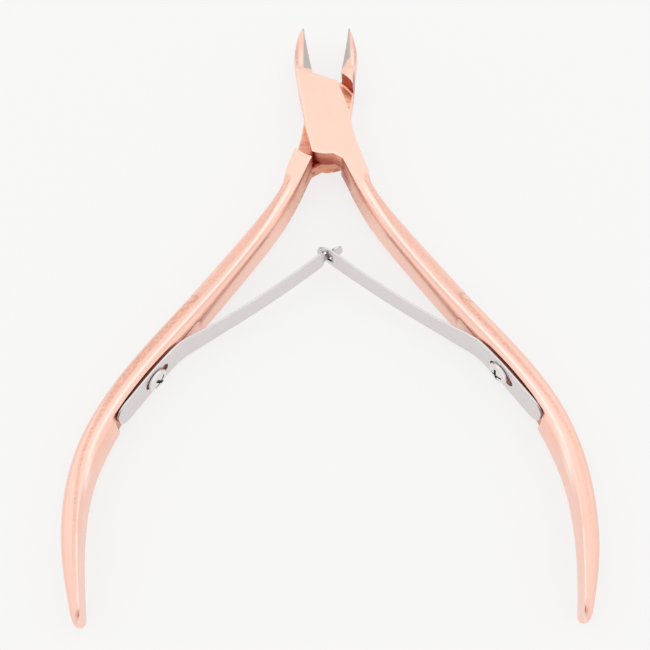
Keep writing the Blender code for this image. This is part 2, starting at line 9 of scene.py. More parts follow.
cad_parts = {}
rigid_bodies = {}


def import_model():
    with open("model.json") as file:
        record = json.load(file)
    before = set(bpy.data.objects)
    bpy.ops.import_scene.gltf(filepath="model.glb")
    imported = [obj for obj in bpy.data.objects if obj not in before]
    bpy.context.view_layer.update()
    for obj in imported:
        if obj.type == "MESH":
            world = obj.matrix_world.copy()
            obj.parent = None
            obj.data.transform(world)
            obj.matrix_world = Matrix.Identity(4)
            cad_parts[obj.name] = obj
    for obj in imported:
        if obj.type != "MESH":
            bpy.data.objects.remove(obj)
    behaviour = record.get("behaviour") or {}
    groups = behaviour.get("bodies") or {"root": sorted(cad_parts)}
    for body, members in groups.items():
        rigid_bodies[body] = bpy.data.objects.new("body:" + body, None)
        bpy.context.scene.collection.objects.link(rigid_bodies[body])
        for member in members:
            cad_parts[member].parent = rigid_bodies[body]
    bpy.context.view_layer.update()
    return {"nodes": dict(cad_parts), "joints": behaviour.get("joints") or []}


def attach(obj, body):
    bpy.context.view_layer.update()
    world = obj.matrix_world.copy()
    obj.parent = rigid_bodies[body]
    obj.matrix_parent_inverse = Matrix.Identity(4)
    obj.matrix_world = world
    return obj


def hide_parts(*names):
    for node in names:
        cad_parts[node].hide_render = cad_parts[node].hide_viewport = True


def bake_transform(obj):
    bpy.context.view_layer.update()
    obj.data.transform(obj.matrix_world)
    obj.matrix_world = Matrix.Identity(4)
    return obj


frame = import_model()
mm = 0.001
print("frame loaded")

camera = {"target": (-0.61, -39.87, 6.6), "elevation": 65, "distance": 200, "lens": 68.1, "roll": -0.55}


def addCamera():
    tilt = math.radians(camera["elevation"])
    target = Vector(camera["target"]) * mm
    away = Vector((0, -math.cos(tilt), math.sin(tilt)))
    data = bpy.data.cameras.new("studioCamera")
    data.lens = camera["lens"]
    data.sensor_width = 36
    data.clip_start = 0.01
    view = bpy.data.objects.new("studioCamera", data)
    bpy.context.scene.collection.objects.link(view)
    turn = (-away).to_track_quat("-Z", "Y").to_matrix().to_4x4()
    roll = Matrix.Rotation(math.radians(camera["roll"]), 4, "Z")
    view.matrix_world = Matrix.Translation(target + away * camera["distance"] * mm) @ turn @ roll
    bpy.context.scene.camera = view


addCamera()


def newPiece(name, mesh):
    piece = bpy.data.objects.new(name, mesh)
    bpy.context.scene.collection.objects.link(piece)
    return piece


def meshFrom(name, points, faces):
    mesh = bpy.data.meshes.new(name)
    mesh.from_pydata([tuple(p) for p in points], [], faces)
    mesh.update()
    return mesh


def settle(piece):
    # replaces the piece's mesh with what its modifiers make of it
    bpy.context.view_layer.update()
    seen = piece.evaluated_get(bpy.context.evaluated_depsgraph_get())
    mesh = bpy.data.meshes.new_from_object(seen)
    piece.modifiers.clear()
    piece.data = mesh


def remesh(piece, size, smooth):
    voxels = piece.modifiers.new("voxels", "REMESH")
    voxels.mode = "VOXEL"
    voxels.voxel_size = size
    voxels.use_smooth_shade = True
    soften = piece.modifiers.new("soften", "SMOOTH")
    soften.iterations = smooth
    settle(piece)


def pointsOf(mesh):
    points = np.empty(len(mesh.vertices) * 3)
    mesh.vertices.foreach_get("co", points)
    return points.reshape(-1, 3)


def setPoints(mesh, points):
    mesh.vertices.foreach_set("co", points.ravel())
    mesh.update()


def setMask(mesh, name, values):
    layer = mesh.attributes.new(name, "FLOAT", "POINT")
    layer.data.foreach_set("value", np.clip(values, 0, 1).astype(np.float32))


def ramp(values, low, high):
    t = np.clip((values - low) / (high - low), 0, 1)
    return t * t * (3 - 2 * t)


def between(values, start, stop):
    return ramp(values, *start) * (1 - ramp(values, *stop))


def bump(values, centre, width):
    return np.exp(-((values - centre) / width) ** 2)


def shadeSmooth(mesh):
    for face in mesh.polygons:
        face.use_smooth = True


def turnedMesh(name, profile, segments):
    # profile is radius and height from the bottom axis point to the top one
    points, faces = [], []
    for radius, height in profile:
        for i in range(segments):
            a = 2 * math.pi * i / segments
            points.append((radius * math.cos(a), radius * math.sin(a), height))
    for ring in range(len(profile) - 1):
        for i in range(segments):
            j = (i + 1) % segments
            low, high = ring * segments, (ring + 1) * segments
            faces.append((low + i, low + j, high + j, high + i))
    bottom, top = len(points), len(points) + 1
    points += [(0, 0, profile[0][1]), (0, 0, profile[-1][1])]
    last = (len(profile) - 1) * segments
    for i in range(segments):
        j = (i + 1) % segments
        faces.append((bottom, j, i))
        faces.append((top, last + i, last + j))
    return meshFrom(name, points, faces)


def addNode(tree, kind, spot, **settings):
    node = tree.nodes.new(kind)
    node.location = spot
    for key, value in settings.items():
        if key in node.inputs:
            node.inputs[key].default_value = value
        else:
            setattr(node, key, value)
    return node


def newGroup(name, inputs, outputs):
    group = bpy.data.node_groups.new(name, "ShaderNodeTree")
    for label, kind, value in inputs:
        socket = group.interface.new_socket(label, in_out="INPUT", socket_type=kind)
        if value is not None:
            socket.default_value = value
    for label, kind in outputs:
        group.interface.new_socket(label, in_out="OUTPUT", socket_type=kind)
    start = addNode(group, "NodeGroupInput", (-900, 0))
    end = addNode(group, "NodeGroupOutput", (900, 0))
    return group, start, end


def math2(tree, operation, first, second, spot):
    node = addNode(tree, "ShaderNodeMath", spot, operation=operation)
    for slot, value in enumerate((first, second)):
        if isinstance(value, (int, float)):
            node.inputs[slot].default_value = value
        else:
            tree.links.new(value, node.inputs[slot])
    return node.outputs[0]


def mixColor(tree, factor, first, second, spot, blend="MIX"):
    node = addNode(tree, "ShaderNodeMix", spot, data_type="RGBA", blend_type=blend)
    for slot, value in ((0, factor), (6, first), (7, second)):
        if isinstance(value, (int, float, tuple)):
            node.inputs[slot].default_value = value
        else:
            tree.links.new(value, node.inputs[slot])
    return node.outputs[2]


def buildPlatingGroup():
    # satin plating: cloudy tone and fine pores
    group, start, end = newGroup(
        "satinPlating",
        [("Cloud Size", "NodeSocketFloat", 300.0), ("Cloud Depth", "NodeSocketFloat", 0.1),
         ("Pore Size", "NodeSocketFloat", 4000.0), ("Pore Depth", "NodeSocketFloat", 0.3)],
        [("Tone", "NodeSocketFloat"), ("Roughness", "NodeSocketFloat"), ("Height", "NodeSocketFloat")])
    place = addNode(group, "ShaderNodeTexCoord", (-900, 300))
    cloud = addNode(group, "ShaderNodeTexNoise", (-600, 300), Detail=4.0, Roughness=0.6)
    pores = addNode(group, "ShaderNodeTexNoise", (-600, 0), Detail=2.0, Roughness=0.5)
    for noise, label in ((cloud, "Cloud Size"), (pores, "Pore Size")):
        group.links.new(place.outputs["Object"], noise.inputs["Vector"])
        group.links.new(start.outputs[label], noise.inputs["Scale"])
    centred = math2(group, "SUBTRACT", cloud.outputs["Fac"], 0.5, (-350, 300))
    spread = math2(group, "MULTIPLY", centred, start.outputs["Cloud Depth"], (-150, 300))
    tone = math2(group, "ADD", spread, 1.0, (50, 300))
    group.links.new(tone, end.inputs["Tone"])
    group.links.new(math2(group, "MULTIPLY", spread, 0.6, (50, 150)), end.inputs["Roughness"])
    group.links.new(math2(group, "MULTIPLY", pores.outputs["Fac"], start.outputs["Pore Depth"], (50, 0)),
                    end.inputs["Height"])
    return group


def buildBrushedGroup():
    # long fine scratches along the X of the stretched coordinate
    group, start, end = newGroup(
        "brushedLines",
        [("Along", "NodeSocketVector", None), ("Line Depth", "NodeSocketFloat", 0.3)],
        [("Tone", "NodeSocketFloat"), ("Roughness", "NodeSocketFloat"), ("Height", "NodeSocketFloat")])
    fine = addNode(group, "ShaderNodeTexNoise", (-500, 200), Scale=1.0, Detail=3.0, Roughness=0.65)
    group.links.new(start.outputs["Along"], fine.inputs["Vector"])
    centred = math2(group, "SUBTRACT", fine.outputs["Fac"], 0.5, (-300, 200))
    deep = math2(group, "MULTIPLY", centred, start.outputs["Line Depth"], (-100, 200))
    group.links.new(math2(group, "ADD", deep, 1.0, (100, 250)), end.inputs["Tone"])
    group.links.new(math2(group, "MULTIPLY", deep, 0.5, (100, 100)), end.inputs["Roughness"])
    group.links.new(fine.outputs["Fac"], end.inputs["Height"])
    return group


platingGroup = buildPlatingGroup()
brushedGroup = buildBrushedGroup()


def newMaterial(name, **settings):
    made = bpy.data.materials.new(name)
    made.use_nodes = True
    tree = made.node_tree
    shader = tree.nodes["Principled BSDF"]
    for key, value in settings.items():
        shader.inputs[key.replace("_", " ")].default_value = value
    return made, tree, shader


def useGroup(tree, group, spot, **values):
    node = addNode(tree, "ShaderNodeGroup", spot, node_tree=group)
    for key, value in values.items():
        node.inputs[key.replace("_", " ")].default_value = value
    return node


def maskNode(tree, name, spot):
    return addNode(tree, "ShaderNodeAttribute", spot, attribute_name=name).outputs["Fac"]


def link(tree, source, target):
    tree.links.new(source, target)


# deep is the colour of the painted shade and of the buffing streaks' dark; the cream one is the colour of the
# painted highlights
plating = {"color": (0.97, 0.62, 0.515, 1), "flute": (0.78, 0.43, 0.32, 1), "deep": (0.40, 0.085, 0.06, 1),
           "gold": (1.0, 0.47, 0.25, 1), "highlight": (1.0, 0.84, 0.75, 1), "steel": (0.53, 0.475, 0.435, 1),
           "roughness": 0.3, "fluteRoughness": 0.42, "polishedRoughness": 0.3, "streakTurn": 32,
           "streakScale": (260.0, 1700.0, 800.0), "streakFrom": 0.31, "streakTo": 0.46,
           "grindScale": (5000.0, 160.0, 160.0), "grindDepth": 0.7}


def makePlating():
    made, tree, shader = newMaterial("roseGoldPlating", Metallic=1.0)
    satin = useGroup(tree, platingGroup, (-1300, 200), Cloud_Size=260.0, Cloud_Depth=0.1,
                     Pore_Size=3600.0, Pore_Depth=0.35)
    pits = useGroup(tree, platingGroup, (-1300, -200), Cloud_Size=2300.0, Cloud_Depth=1.5,
                    Pore_Size=2300.0, Pore_Depth=1.0)
    flute = maskNode(tree, "flute", (-1300, 900))
    deep = maskNode(tree, "deep", (-1300, 800))
    ground = maskNode(tree, "ground", (-1300, 700))
    edge = maskNode(tree, "edge", (-1300, 600))
    polish = maskNode(tree, "polish", (-1300, 500))
    # buffing streaks in the polished recesses
    place = addNode(tree, "ShaderNodeTexCoord", (-1900, 1200))
    turn = addNode(tree, "ShaderNodeMapping", (-1700, 1200))
    turn.inputs["Rotation"].default_value = (0, 0, math.radians(plating["streakTurn"]))
    turn.inputs["Scale"].default_value = plating["streakScale"]
    link(tree, place.outputs["Object"], turn.inputs["Vector"])
    streaks = addNode(tree, "ShaderNodeTexNoise", (-1500, 1200), Scale=1.0, Detail=3.0, Roughness=0.6)
    link(tree, turn.outputs["Vector"], streaks.inputs["Vector"])
    band = addNode(tree, "ShaderNodeMapRange", (-1300, 1200))
    band.inputs["From Min"].default_value = plating["streakFrom"]
    band.inputs["From Max"].default_value = plating["streakTo"]
    link(tree, streaks.outputs["Fac"], band.inputs["Value"])
    buffed = mixColor(tree, band.outputs["Result"], plating["deep"], plating["gold"], (-1000, 1100))
    toned = mixColor(tree, 1.0, plating["color"], satin.outputs["Tone"], (-1000, 300), "MULTIPLY")
    pitted = mixColor(tree, 1.0, plating["flute"], pits.outputs["Tone"], (-1000, 100), "MULTIPLY")
    color = mixColor(tree, flute, toned, pitted, (-800, 300))
    color = mixColor(tree, polish, color, buffed, (-650, 300))
    # painted shade where the deep mask is high
    color = mixColor(tree, deep, color, plating["deep"], (-500, 300))
    # painted highlight where the edge mask is high
    color = mixColor(tree, edge, color, plating["highlight"], (-350, 300))
    # grinding lines on the bare bevels, running towards the points
    grain = addNode(tree, "ShaderNodeMapping", (-1700, 1600))
    grain.inputs["Scale"].default_value = plating["grindScale"]
    link(tree, place.outputs["Object"], grain.inputs["Vector"])
    lines = useGroup(tree, brushedGroup, (-1300, 1600), Line_Depth=plating["grindDepth"])
    link(tree, grain.outputs["Vector"], lines.inputs["Along"])
    bare = mixColor(tree, 1.0, plating["steel"], lines.outputs["Tone"], (-400, 600), "MULTIPLY")
    color = mixColor(tree, ground, color, bare, (-200, 300))
    link(tree, color, shader.inputs["Base Color"])
    rough = math2(tree, "ADD", satin.outputs["Roughness"], plating["roughness"], (-1000, -150))
    for mask, key, along in ((flute, "fluteRoughness", -1000), (polish, "polishedRoughness", -800)):
        change = math2(tree, "MULTIPLY", mask, plating[key] - plating["roughness"], (along, -300))
        rough = math2(tree, "ADD", rough, change, (along + 200, -150))
    link(tree, math2(tree, "MAXIMUM", rough, 0.05, (-400, -150)), shader.inputs["Roughness"])
    height = math2(tree, "MULTIPLY", pits.outputs["Height"], flute, (-800, -500))
    height = math2(tree, "ADD", height, satin.outputs["Height"], (-600, -500))
    relief = addNode(tree, "ShaderNodeBump", (-300, -450), Strength=0.25, Distance=0.00004)
    link(tree, height, relief.inputs["Height"])
    link(tree, relief.outputs["Normal"], shader.inputs["Normal"])
    return made


steel = {"spring": (0.74, 0.705, 0.70, 1), "springRoughness": 0.34, "screw": (0.80, 0.775, 0.76, 1),
         "screwRoughness": 0.2, "paintedShade": (0.035, 0.028, 0.026, 1), "lineScale": (300.0, 300.0, 9000.0),
         "lineDepth": 0.25}


def makeSteel(name, color, roughness):
    made, tree, shader = newMaterial(name, Metallic=1.0)
    place = addNode(tree, "ShaderNodeTexCoord", (-1100, 0))
    stretch = addNode(tree, "ShaderNodeMapping", (-900, 0))
    stretch.inputs["Scale"].default_value = steel["lineScale"]
    link(tree, place.outputs["Object"], stretch.inputs["Vector"])
    lines = useGroup(tree, brushedGroup, (-650, 0), Line_Depth=steel["lineDepth"])
    link(tree, stretch.outputs["Vector"], lines.inputs["Along"])
    toned = mixColor(tree, 1.0, color, lines.outputs["Tone"], (-400, 200), "MULTIPLY")
    # painted shade in holes and recesses, mixed in by the mask
    shadedTone = mixColor(tree, maskNode(tree, "paintedShade", (-650, 400)), toned, steel["paintedShade"], (-200, 200))
    link(tree, shadedTone, shader.inputs["Base Color"])
    rough = math2(tree, "ADD", lines.outputs["Roughness"], roughness, (-400, 0))
    link(tree, rough, shader.inputs["Roughness"])
    relief = addNode(tree, "ShaderNodeBump", (-400, -200), Strength=0.15, Distance=0.00002)
    link(tree, lines.outputs["Height"], relief.inputs["Height"])
    link(tree, relief.outputs["Normal"], shader.inputs["Normal"])
    return made


roseGold = makePlating()
springSteel = makeSteel("brushedSpringSteel", steel["spring"], steel["springRoughness"])
screwSteel = makeSteel("brightScrewSteel", steel["screw"], steel["screwRoughness"])
print("materials made")

# sizes here and below are in mm
# the last entry sets how strong the painted highlight on edges and crest is
halves = {"voxel": 0.16, "smooth": 3, "depth": 6.6, "lap": 3.3, "plugRadius": 3.1, "plugDepth": 1.3,
          "handleTop": -11.4, "handleRun": 76.2, "stations": (-86.5, -12.0, 0.75),
          "edgeHighlight": 0.8}


def crestLine(points, side):
    # x of the crest at each y, read from the half's own highest points
    x = points[:, 0] * side
    crest = (points[:, 2] > np.max(points[:, 2]) - 0.03) & (x > 4) & (points[:, 1] < -11)
    ys, xs = points[crest, 1], x[crest]
    stations = np.arange(*halves["stations"])
    centres = []
    for y in stations:
        close = np.abs(ys - y) < 1.0
        centres.append(np.median(xs[close]) if close.any() else np.nan)
    centres = np.array(centres)
    known = ~np.isnan(centres)
    centres = np.interp(stations, stations[known], centres[known])
    return stations, np.convolve(np.pad(centres, 4, mode="edge"), np.ones(9) / 9, mode="valid")


def outerWidth(stations, across, y):
    # how far the handle reaches outwards from its crest at each station
    widths = [np.max(across[np.abs(y - station) < 0.6]) for station in stations]
    return np.convolve(np.pad(widths, 2, mode="edge"), np.ones(5) / 5, mode="valid")


def neighbourMean(mesh, values):
    ends = np.empty(len(mesh.edges) * 2, dtype=np.int64)
    mesh.edges.foreach_get("vertices", ends)
    ends = ends.reshape(-1, 2)
    total = np.zeros_like(values)
    count = np.zeros(len(values))
    for a, b in ((0, 1), (1, 0)):
        np.add.at(total, ends[:, a], values[ends[:, b]])
        np.add.at(count, ends[:, a], 1)
    return total / count.reshape((-1,) + (1,) * (values.ndim - 1))


def averaged(mesh, values, times):
    for _ in range(times):
        values = neighbourMean(mesh, values)
    return values


def edgeAmount(mesh, points, normals):
    # how sharply the surface bends outwards, spread over a few neighbours
    out = np.einsum("ij,ij->i", points - neighbourMean(mesh, points), normals)
    return averaged(mesh, out, 2)


def placesOn(mesh, side):
    # where each point lies: across from the crest, share down the handle, and how its face looks inwards
    points = pointsOf(mesh) / mm
    normals = np.empty(len(points) * 3)
    mesh.vertices.foreach_get("normal", normals)
    normals = normals.reshape(-1, 3)
    x, y, z = points[:, 0] * side, points[:, 1], points[:, 2]
    stations, crest = crestLine(points, side)
    slope = np.gradient(crest, stations)
    lean = np.interp(y, stations, slope)
    across = (x - np.interp(y, stations, crest)) / np.sqrt(1 + lean ** 2)
    width = np.interp(y, stations, outerWidth(stations, across, y))
    wayDown = np.interp(y, stations, np.sqrt(1 / (1 + slope ** 2)))
    inward = -(normals[:, 0] * side * wayDown - normals[:, 1] * wayDown * lean)
    up = normals[:, 2]
    return SimpleNamespace(points=points, normals=normals, x=x, y=y, z=z, up=up, lean=lean, across=across,
                           width=width, wayDown=wayDown, inward=inward, jawX=-x,
                           onTop=ramp(up, 0.05, 0.3) + ramp(-up, 0.05, 0.3),
                           down=(halves["handleTop"] - y) / halves["handleRun"])


# the groove band of the right (1) and left (-1) handle, at shares of the handle's length; past the nick it is
# a painted dark reflection line
groove = {1: {"at": [0, 0.29, 0.33, 0.5, 0.62, 0.75, 0.96],
              "centre": [0.5, 0.5, 0.4, 0.36, 0.5, 0.6, 0.7],
              "half": [0.7, 0.65, 0.5, 0.4, 0.45, 0.5, 0.5],
              "strength": [0.3, 0.35, 0.7, 0.55, 0.4, 0.3, 0.0]},
          -1: {"at": [0, 0.29, 0.33, 0.48, 0.62, 0.75, 0.96],
               "centre": [0.5, 0.5, 0.56, 0.54, 0.42, 0.4, 0.36],
               "half": [0.75, 0.7, 0.75, 0.7, 0.4, 0.3, 0.25],
               "strength": [0.4, 0.45, 0.8, 0.8, 0.6, 0.5, 0.0]}}
# crescent nick where the groove stops, and the pit at the end of the crest
nick = {"y": -34.6, "long": 0.8, "share": 0.95, "wide": 0.5, "line": 0.22, "from": (0.3, 0.5),
        "depth": 0.12, "shade": 0.25}
pit = {"y": -86.3, "long": 0.6, "across": -0.05, "wide": 0.5, "depth": 0.3}


def grooveAndReflection(at, side):
    # broad and pitted as far as the nick, then a thin painted dark reflection line towards the end
    look = groove[side]
    centre = np.interp(at.down, look["at"], look["centre"]) * at.width
    half = np.interp(at.down, look["at"], look["half"])
    strength = np.interp(at.down, look["at"], look["strength"]) * ramp(-at.y, 10, 13)
    return (1 - ramp(np.abs(at.across - centre), 0.55 * half, 1.25 * half)) * strength * at.onTop


def nickMask(at):
    share = at.across / at.width
    ring = np.hypot((at.y - nick["y"]) / nick["long"], (share - nick["share"]) / nick["wide"])
    return bump(ring, 1.0, nick["line"]) * ramp(share, *nick["from"]) * at.onTop


def pitMask(at):
    spot = bump(at.across, pit["across"], pit["wide"]) * bump(at.y, pit["y"], pit["long"])
    return spot * ramp(at.up, 0.2, 0.5)


# each handle's own slight bow, and the slimmer inner side of its end
bow = {"amount": 0.27, "y": -65.0, "long": 12.0, "start": (48, 58), "stop": (-86, -78)}
slim = {"amount": 0.3, "down": (77, 83), "inside": (0.1, 1.2)}
# the pocket stands back from the spring's foot, by shares of the foot
pocket = {"foot": 13.2, "start": (-0.02, 0.03), "stop": (1.0, 1.03), "low": (0.35, 0.55),
          "high": (6.05, 6.25), "endAt": 1.03, "endLong": 0.05, "shade": 0.55,
          "bowAt": [-0.1, 0.0, 0.12, 0.4, 0.8, 1.0, 1.03],
          "bow": [0.0, 0.0, 0.25, 0.45, 0.42, 0.36, 0.36],
          "gap": [0.0, 0.0, 0.04, 0.08, 0.12, 0.18, 0.18]}


def bendHandle(at, side):
    amount = -bow["amount"] * side * bump(at.y, bow["y"], bow["long"])
    amount *= ramp(-at.y, *bow["start"]) * ramp(at.y, *bow["stop"])
    amount += slim["amount"] * ramp(-at.y, *slim["down"]) * ramp(-at.across, *slim["inside"])
    at.points[:, 0] += amount * side


def pocketWall(mesh, at, body):
    # mask of the pocket's wall and of its round end, which faces the jaws, and each point's share of the foot
    joint = next(j for j in frame["joints"] if j["name"].endswith("_leaf_flex") and j["parent"] == body)
    share = (joint["pos_m"][1] / mm - at.y) / pocket["foot"]
    inside = between(at.z, pocket["low"], pocket["high"])
    wall = ramp(at.inward, 0.5, 0.85) * between(share, pocket["start"], pocket["stop"]) * inside
    end = ramp(at.normals[:, 1], 0.35, 0.6) * bump(share, pocket["endAt"], pocket["endLong"])
    return averaged(mesh, np.maximum(wall, end * (at.across < 0) * inside), 2), share


def openPocket(mesh, at, side, wall, share):
    back = np.interp(share, pocket["bowAt"], np.add(pocket["bow"], pocket["gap"])) * wall
    back = averaged(mesh, back, 3)
    at.points[:, 0] += back * at.wayDown * side
    at.points[:, 1] -= back * at.wayDown * at.lean


# ground bevels and bare points of the jaws, the cheeks' painted highlight streak, and their warmer rim
jaws = {"run": 0.35, "runAt": (20.4, 21.8), "bevelFrom": (11.3, 11.5),
        "bevelLine": {1: (3.97, 4.13), -1: (4.4, 4.56)}, "curveAt": 12.1, "curveFrom": 2.9, "curveRise": 1.6,
        "bareFrom": (21.3, 21.6), "cheekFrom": (11.6, 12.6), "cheekHighlightAt": {1: 4.55, -1: 4.9},
        "cheekHighlightWide": 0.32, "cheekHighlightEnd": (15.5, 18.0), "cheekHighlight": 0.9, "rimFrom": (4.8, 5.3), "rim": 0.75}


def groundBevels(at, side):
    start = ramp(at.y, *jaws["bevelFrom"])
    if side < 0:
        curve = jaws["curveAt"] + np.clip(at.jawX - jaws["curveFrom"], 0, 2) * jaws["curveRise"]
        start = ramp(at.y, curve - 0.1, curve + 0.1)
    ground = start * (1 - ramp(at.jawX, *jaws["bevelLine"][side]))
    return np.maximum(ground, ramp(at.y, *jaws["bareFrom"])) * ramp(at.up, -0.3, 0.0)


# the polished recesses of the lap, and the walls of the crotch between the handles, both with painted shade
lap = {"ends": (10.5, 11.5), "handleEnd": (-6.5, -5.5), "soft": (3.1, 3.5), "wallFrom": (6.5, 7.2),
       "wallTo": (10.3, 11.0), "wallSide": (2.0, 2.6), "wallShade": 0.9, "recess": 0.55, "recessMore": 0.3,
       "recessAt": (1.0, 6.0)}
crotch = {"start": (4.6, 5.4), "stop": (9.5, 13.0), "outside": (4.6, 6.2), "inside": (3.2, 3.6),
          "lineStop": (9.5, 12.0), "lineOutside": (3.9, 4.6), "lineWide": 0.4, "rear": 0.4, "front": 0.55,
          "frontLow": 0.45, "lowAt": (4.4, 6.0), "frontRight": 0.3, "rightAt": (-1, 3), "lip": (6.0, 6.2),
          "polish": 0.8}
# mottled plating, and painted shade in dark streaks low on the handles' inner walls beside the crotch
innerWall = {"mottle": 0.75, "start": (7, 9), "stop": (14, 22), "shadeStreaks": 0.9, "shadeStreaksHigh": (1.0, 3.2),
             "shadeStreaksStart": (6.5, 8.5), "shadeStreaksStop": (12, 16), "streaks": 5.3, "waves": 3.1, "sway": 1.7}
# the crest's painted highlight line at shares of the handle's length, and the painted dark reflection line
# just inside it
crest = {"at": [0.3, 0.6, 0.8, 1], "width": {1: [0.14, 0.3, 0.7, 0.8], -1: [0.14, 0.22, 0.35, 0.4]},
         "centre": {1: [0.1, 0.0, -0.3, -0.4], -1: [0.1, 0.1, 0.0, 0.0]}, "soft": 0.1, "start": (0.0, 0.05),
         "stop": (0.955, 0.965), "shade": 0.2, "shadeAt": -0.3, "shadeWide": 0.13, "shadeStart": (13, 18),
         "shadeStop": (40, 48)}


def lapMasks(at, side):
    # polished recess and, on the rear half, painted shade on the step beside the jaw and in the recess beside
    # the handle
    low, high = lap["soft"]
    inLap = ramp(at.z, high, low) if side < 0 else ramp(at.z, low, high)
    along = ramp(at.y, *lap["handleEnd"]) * (1 - ramp(at.y, *lap["ends"]))
    polish = along * inLap * ramp(at.up * (-side), 0.6, 0.9)
    wall = 1 - ramp(np.abs(at.up), 0.3, 0.7)
    step = wall * between(at.y, lap["wallFrom"], lap["wallTo"]) * ramp(at.jawX, *lap["wallSide"]) * (side < 0)
    shade = polish * (at.x > 0) * (lap["recess"] + lap["recessMore"] * ramp(-at.y, *lap["recessAt"]))
    return polish, lap["wallShade"] * step + shade, wall


def crotchMasks(at, side, wall):
    # painted shade on the crotch walls, and a dark line along the seam between the plates
    walls = wall * between(-at.y, crotch["start"], crotch["stop"]) * (1 - ramp(at.x, *crotch["outside"]))
    walls *= 1 - ramp(-at.x, *crotch["inside"])
    zone = between(-at.y, crotch["start"], crotch["lineStop"]) * (1 - ramp(at.x, *crotch["lineOutside"]))
    line = zone * bump(at.z, halves["lap"], crotch["lineWide"])
    if side < 0:
        return walls, walls * crotch["rear"], line, 0
    # painted shade: the front plate's wall is the darker one, most of all low down and on its left
    low = crotch["frontLow"] * (1 - ramp(at.z, *crotch["lowAt"]))
    shade = walls * (crotch["front"] + low - crotch["frontRight"] * ramp(at.x, *crotch["rightAt"]))
    # painted highlight along the top edge of the front plate's crotch wall
    turning = ramp(at.up, 0.2, 0.5) * (1 - ramp(at.up, 0.9, 0.98))
    return walls, shade, line, zone * turning * ramp(at.z, *crotch["lip"])


def crestMasks(at, side):
    width = np.interp(at.down, crest["at"], crest["width"][side])
    centre = np.interp(at.down, crest["at"], crest["centre"][side])
    # pale is the painted highlight along the crest; shade is the painted dark reflection line just inside it
    pale = bump(at.across, centre, width + crest["soft"]) * ramp(at.up, 0.1, 0.5)
    pale *= between(at.down, crest["start"], crest["stop"])
    shade = crest["shade"] * bump(at.across, crest["shadeAt"], crest["shadeWide"]) * ramp(at.up, 0.0, 0.2)
    return pale, shade * between(-at.y, crest["shadeStart"], crest["shadeStop"])


def paintHalf(mesh, at, side, edge, flute, ground, pocketShade):
    # the masks that the plating reads: groove, painted shade, bare steel, painted highlights on edges, and
    # polish
    polish, lapShade, wall = lapMasks(at, side)
    walls, crotchShade, line, lip = crotchMasks(at, side, wall)
    pale, crestShade = crestMasks(at, side)
    mottle = ramp(at.inward, 0.3, 0.6) * between(-at.y, innerWall["start"], innerWall["stop"])
    flute = np.maximum(flute, innerWall["mottle"] * mottle)
    # deep gathers the painted shade of the lap, crotch, pocket, pit, nick and crest, and the dark seam line
    # between the plates
    deep = np.clip(lapShade + crotchShade + line + pocketShade + crestShade, 0, 1)
    # painted shade in streaks, low on the inner walls beside the crotch
    wave = np.sin(at.z * innerWall["waves"]) * innerWall["sway"]
    streaked = 0.5 + 0.5 * np.sin(at.y * innerWall["streaks"] + wave)
    shadeStreaks = ramp(at.inward, 0.3, 0.6) * (1 - ramp(at.z, *innerWall["shadeStreaksHigh"]))
    shadeStreaks *= between(-at.y, innerWall["shadeStreaksStart"], innerWall["shadeStreaksStop"])
    deep = np.maximum(deep, innerWall["shadeStreaks"] * shadeStreaks * streaked)
    # painted highlights: rounded edges and the crest line, then the crotch lip and the cheek streak
    edge = np.maximum(edge * (1 - np.maximum(walls, line)), pale)
    onCheek = ramp(at.y, *jaws["cheekFrom"]) * ramp(at.up, 0.2, 0.5) * (1 - ground)
    # painted highlight streak down each cheek
    cheekHighlight = bump(at.jawX, jaws["cheekHighlightAt"][side], jaws["cheekHighlightWide"]) * (1 - ramp(at.y, *jaws["cheekHighlightEnd"]))
    edge = np.maximum(np.maximum(edge, lip), jaws["cheekHighlight"] * cheekHighlight * onCheek)
    flute = np.maximum(flute, jaws["rim"] * ramp(at.jawX, *jaws["rimFrom"]) * onCheek)
    setMask(mesh, "flute", flute)
    setMask(mesh, "deep", deep)
    setMask(mesh, "ground", ground)
    setMask(mesh, "edge", edge * halves["edgeHighlight"])
    setMask(mesh, "polish", np.maximum(polish, crotch["polish"] * walls))


def fusePlug(piece):
    # a closed disc over the rivet's front end, for the remesh to fuse
    radius, top = halves["plugRadius"] * mm, halves["depth"] * mm
    plug = turnedMesh("plug", [(radius, (halves["depth"] - halves["plugDepth"]) * mm), (radius, top)], 64)
    work = bmesh.new()
    work.from_mesh(piece.data)
    work.from_mesh(plug)
    work.to_mesh(piece.data)
    work.free()


def buildHalf(nodeName, name, side, body):
    piece = newPiece(name, frame["nodes"][nodeName].data.copy())
    if side > 0:
        fusePlug(piece)
    remesh(piece, halves["voxel"] * mm, halves["smooth"])
    mesh = piece.data
    at = placesOn(mesh, side)
    flute, nicked, pitted = grooveAndReflection(at, side), nickMask(at), pitMask(at)
    bendHandle(at, side)
    wall, share = pocketWall(mesh, at, body)
    openPocket(mesh, at, side, wall, share)
    sink = nicked * nick["depth"] + pitted * pit["depth"]
    points = at.points - at.normals * sink[:, None]
    # the ground points run out a little further than the forging
    points[:, 1] += jaws["run"] * ramp(at.y, *jaws["runAt"])
    setPoints(mesh, points * mm)
    # painted highlight on the rounded edges, where they bend outwards
    edge = ramp(edgeAmount(mesh, points, at.normals), 0.004, 0.02)
    # painted shade in the pocket, the pit and the nick
    pocketShade = pocket["shade"] * wall + pitted + nick["shade"] * nicked
    paintHalf(mesh, at, side, edge, flute, groundBevels(at, side), pocketShade)
    mesh.materials.clear()
    mesh.materials.append(roseGold)
    shadeSmooth(mesh)
    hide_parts(nodeName)
    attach(piece, body)
    print(name, len(points), "points")


buildHalf("front_half", "frontHalf", 1, "front")
buildHalf("rear_half", "rearHalf", -1, "rear")

